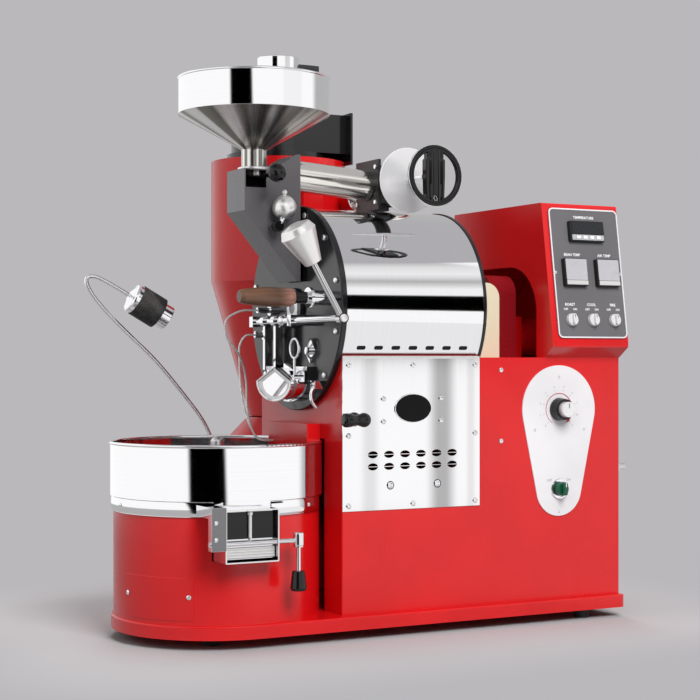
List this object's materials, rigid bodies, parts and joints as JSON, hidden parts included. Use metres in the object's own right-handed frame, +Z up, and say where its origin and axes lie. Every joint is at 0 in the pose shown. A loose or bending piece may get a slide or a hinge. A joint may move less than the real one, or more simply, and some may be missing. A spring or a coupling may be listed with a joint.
{
  "type": "small gas coffee roaster",
  "caption": "Gas-fired drum roaster for coffee: hopper, feed chute, rotating drum, sampling scoop, weighted discharge door, stirred cooling pan, cyclone with fan, and a slanted control box.",
  "frame": {"origin": "centre of the footprint box at floor level", "axes": "+X from the cooling pan to the control box, -Y the side with the controls, +Z up"},
  "size_m": [0.903, 0.688, 1.018],
  "materials": {
    "red_paint": "gloss",
    "black_paint": "gloss",
    "cream_paint": "satin",
    "white_paint": "gloss",
    "grey_panel": "satin",
    "stainless": "brushed",
    "chrome": "polished",
    "dark_steel": "satin",
    "cast_black": "matt",
    "aluminium": "satin",
    "insulation": "fibrous",
    "rubber": "matt",
    "handle_wood": "oiled",
    "black_plastic": "gloss",
    "matte_plastic": "matt",
    "green_plastic": "gloss",
    "brass": "satin"
  },
  "bodies": {
    "machine": {"base_plate": "red_paint", "rubber_feet": "rubber", "cabinet_shell": "red_paint", "side_plate": "stainless", "cover_screws": "stainless", "teardrop_plate": "white_paint", "front_terminal_box": "red_paint", "cooling_pan": "stainless", "pan_floor": "stainless", "pan_ring": "chrome", "pan_base": "red_paint", "cooling_motors": "dark_steel", "drum_housing": "stainless", "drum_insulation": "insulation", "rear_plate": "black_paint", "front_plate": "black_paint", "front_plate_fittings": "chrome", "drum_motor": "red_paint", "drive_chain": "dark_steel", "shaft_bearings": "chrome", "rear_casing": "cream_paint", "gear_cover": "red_paint", "gas_burner": "dark_steel", "gas_inlet": "brass", "discharge_frame": "chrome", "probe_leads": "matte_plastic", "feed_chute": "black_paint", "hopper": "stainless", "sight_lamp": "chrome", "exhaust_duct": "stainless", "damper_body": "cast_black", "damper_dial": "aluminium", "cyclone_body": "red_paint", "fan_scroll": "cast_black", "fan_motor": "stainless", "control_box": "red_paint", "control_panel": "grey_panel", "panel_instruments": "matte_plastic", "lamp_arm": "chrome", "lamp_head": "chrome"},
    "drum": {"drum": "dark_steel"},
    "motor_sprocket": {"motor_sprocket": "dark_steel"},
    "stirrer": {"stirrer": "stainless"},
    "cooling_impeller": {"cooling_impeller": "aluminium"},
    "exhaust_impeller": {"exhaust_impeller": "aluminium"},
    "gate_flap": {"gate_flap": "chrome"},
    "discharge_door": {"discharge_door": "chrome", "door_weight": "chrome"},
    "tryer": {"tryer_scoop": "stainless", "tryer_handle": "handle_wood"},
    "feed_gate": {"feed_gate": "black_plastic"},
    "damper": {"damper_handwheel": "black_plastic"},
    "gas_knob": {"gas_knob": "black_plastic"},
    "green_selector": {"green_selector": "green_plastic"},
    "switch_1": {"switch_1": "aluminium"},
    "switch_2": {"switch_2": "aluminium"},
    "switch_3": {"switch_3": "aluminium"},
    "airflow_lever": {"airflow_lever": "black_plastic"},
    "latch_lever": {"latch_lever": "chrome"},
    "chaff_bin": {"chaff_bin": "red_paint"}
  },
  "joints": [
    {"name": "drum_spin", "type": "hinge", "parent": "machine", "child": "drum", "pos_m": [0, -0.1, 0.536], "axis": [1, 0, 0], "continuous": true},
    {"name": "motor_spin", "type": "hinge", "parent": "machine", "child": "motor_sprocket", "pos_m": [0.228, -0.1, 0.49], "axis": [1, 0, 0], "continuous": true},
    {"name": "stirrer_spin", "type": "hinge", "parent": "machine", "child": "stirrer", "pos_m": [-0.276, -0.1, 0.24], "axis": [0, 0, 1], "continuous": true},
    {"name": "cooling_fan_spin", "type": "hinge", "parent": "machine", "child": "cooling_impeller", "pos_m": [-0.276, -0.1, 0.11], "axis": [0, 0, 1], "continuous": true},
    {"name": "exhaust_fan_spin", "type": "hinge", "parent": "machine", "child": "exhaust_impeller", "pos_m": [-0.013, 0.218, 0.87], "axis": [0, 0, 1], "continuous": true},
    {"name": "gate_swing", "type": "hinge", "parent": "machine", "child": "gate_flap", "pos_m": [-0.304, -0.297, 0.1695], "axis": [1, 0, 0], "range_deg": [-65, 0]},
    {"name": "discharge_swing", "type": "hinge", "parent": "machine", "child": "discharge_door", "pos_m": [-0.157, -0.1, 0.5145], "axis": [0, 1, 0], "range_deg": [0, 55]},
    {"name": "tryer_pull", "type": "slide", "parent": "machine", "child": "tryer", "axis": [-1, 0, 0], "range_m": [0, 0.12]},
    {"name": "feed_gate_pull", "type": "slide", "parent": "machine", "child": "feed_gate", "axis": [0, -1, 0], "range_m": [0, 0.045]},
    {"name": "damper_turn", "type": "hinge", "parent": "machine", "child": "damper", "pos_m": [0.024, -0.2, 0.748], "axis": [0, 1, 0], "range_deg": [0, 90]},
    {"name": "gas_knob_turn", "type": "hinge", "parent": "machine", "child": "gas_knob", "pos_m": [0.297, -0.26, 0.364], "axis": [0, 1, 0], "range_deg": [0, 270]},
    {"name": "selector_turn", "type": "hinge", "parent": "machine", "child": "green_selector", "pos_m": [0.297, -0.26, 0.227], "axis": [0, 1, 0], "range_deg": [0, 90]},
    {"name": "switch_1_turn", "type": "hinge", "parent": "machine", "child": "switch_1", "pos_m": [0.3078, -0.27355, 0.5171], "axis": [0, -0.9891, 0.1473], "range_deg": [0, 90]},
    {"name": "switch_2_turn", "type": "hinge", "parent": "machine", "child": "switch_2", "pos_m": [0.353, -0.27355, 0.5171], "axis": [0, -0.9891, 0.1473], "range_deg": [0, 90]},
    {"name": "switch_3_turn", "type": "hinge", "parent": "machine", "child": "switch_3", "pos_m": [0.3982, -0.27355, 0.5171], "axis": [0, -0.9891, 0.1473], "range_deg": [0, 90]},
    {"name": "airflow_turn", "type": "hinge", "parent": "machine", "child": "airflow_lever", "pos_m": [-0.108, -0.26, 0.354], "axis": [0, 1, 0], "range_deg": [0, 90]},
    {"name": "latch_turn", "type": "hinge", "parent": "machine", "child": "latch_lever", "pos_m": [-0.143, -0.196, 0.408], "axis": [0, 1, 0], "range_deg": [0, 90]},
    {"name": "bin_pull", "type": "slide", "parent": "machine", "child": "chaff_bin", "axis": [0, 1, 0], "range_m": [0, 0.25]}
  ],
  "couplings": [
    {"joint": "motor_spin", "follows": "drum_spin", "ratio": 2}
  ]
}
